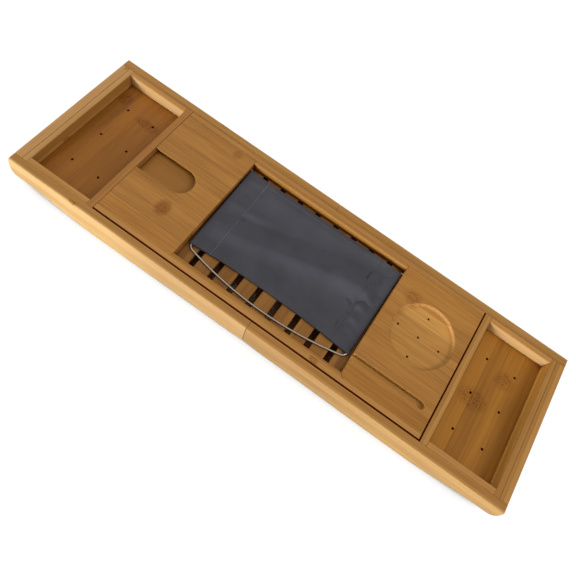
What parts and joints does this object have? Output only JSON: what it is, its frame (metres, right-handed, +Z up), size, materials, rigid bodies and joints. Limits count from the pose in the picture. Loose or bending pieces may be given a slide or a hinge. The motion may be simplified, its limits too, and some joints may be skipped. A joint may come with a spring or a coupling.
{
  "type": "bath caddy",
  "caption": "Expanding bamboo bath caddy: side trays, slatted bay with a fold-up cloth rest on a wire frame, glass slot, mug recess and phone groove.",
  "frame": {"origin": "centre of the footprint, on the plane that the caddy stands on, arms pushed in", "axes": "+X to the right along the length, +Y to the back, +Z up"},
  "size_m": [0.763, 0.229, 0.056],
  "materials": {
    "bamboo_rail": "laminated bamboo, satin lacquer",
    "bamboo_strip": "laminated bamboo, satin lacquer",
    "bamboo_panel": "laminated bamboo, satin lacquer",
    "bamboo_tray_floor": "laminated bamboo, satin lacquer",
    "bamboo_frame": "laminated bamboo, satin lacquer",
    "grip_silicone": "matte translucent silicone",
    "screw_steel": "satin",
    "rack_steel": "satin",
    "rack_cloth": "matte weave"
  },
  "bodies": {
    "centre_tray": {"centre_front_rail": "bamboo_panel", "centre_back_rail": "bamboo_panel", "left_panel": "bamboo_panel", "right_panel": "bamboo_panel", "slat_1": "bamboo_panel", "slat_2": "bamboo_panel", "slat_3": "bamboo_panel", "slat_4": "bamboo_panel", "slat_5": "bamboo_panel", "slat_6": "bamboo_panel", "slat_7": "bamboo_panel", "slat_8": "bamboo_panel", "slat_9": "bamboo_panel", "bay_front_lip": "bamboo_panel", "bay_back_lip": "bamboo_panel", "bay_front_bearer": "bamboo_frame", "bay_back_bearer": "bamboo_frame", "bay_left_cheek": "bamboo_frame", "bay_right_cheek": "bamboo_frame", "centre_left_end_rail": "bamboo_frame", "centre_right_end_rail": "bamboo_frame", "glass_slot_floor": "bamboo_panel", "left_front_stop_screw": "screw_steel", "left_back_stop_screw": "screw_steel", "right_front_stop_screw": "screw_steel", "right_back_stop_screw": "screw_steel"},
    "left_arm": {"left_front_rail": "bamboo_rail", "left_back_rail": "bamboo_rail", "left_end_rail": "bamboo_rail", "left_tray_floor": "bamboo_tray_floor", "left_cross_bar": "bamboo_strip", "left_end_strip": "bamboo_strip", "left_front_strip": "bamboo_strip", "left_back_strip": "bamboo_strip", "left_front_grip": "grip_silicone", "left_back_grip": "grip_silicone"},
    "right_arm": {"right_front_rail": "bamboo_rail", "right_back_rail": "bamboo_rail", "right_end_rail": "bamboo_rail", "right_tray_floor": "bamboo_tray_floor", "right_cross_bar": "bamboo_strip", "right_end_strip": "bamboo_strip", "right_front_strip": "bamboo_strip", "right_back_strip": "bamboo_strip", "right_front_grip": "grip_silicone", "right_back_grip": "grip_silicone"},
    "rack": {"rack_wire": "rack_steel", "rack_cloth": "rack_cloth"}
  },
  "joints": [
    {"name": "left_arm_slide", "type": "slide", "parent": "centre_tray", "child": "left_arm", "axis": [-1, 0, 0], "range_m": [0, 0.17]},
    {"name": "right_arm_slide", "type": "slide", "parent": "centre_tray", "child": "right_arm", "axis": [1, 0, 0], "range_m": [0, 0.17]},
    {"name": "rack_hinge", "type": "hinge", "parent": "centre_tray", "child": "rack", "pos_m": [-0.00255, 0.0833, 0.0475], "axis": [-1, 0, 0], "range_deg": [0, 110]}
  ]
}
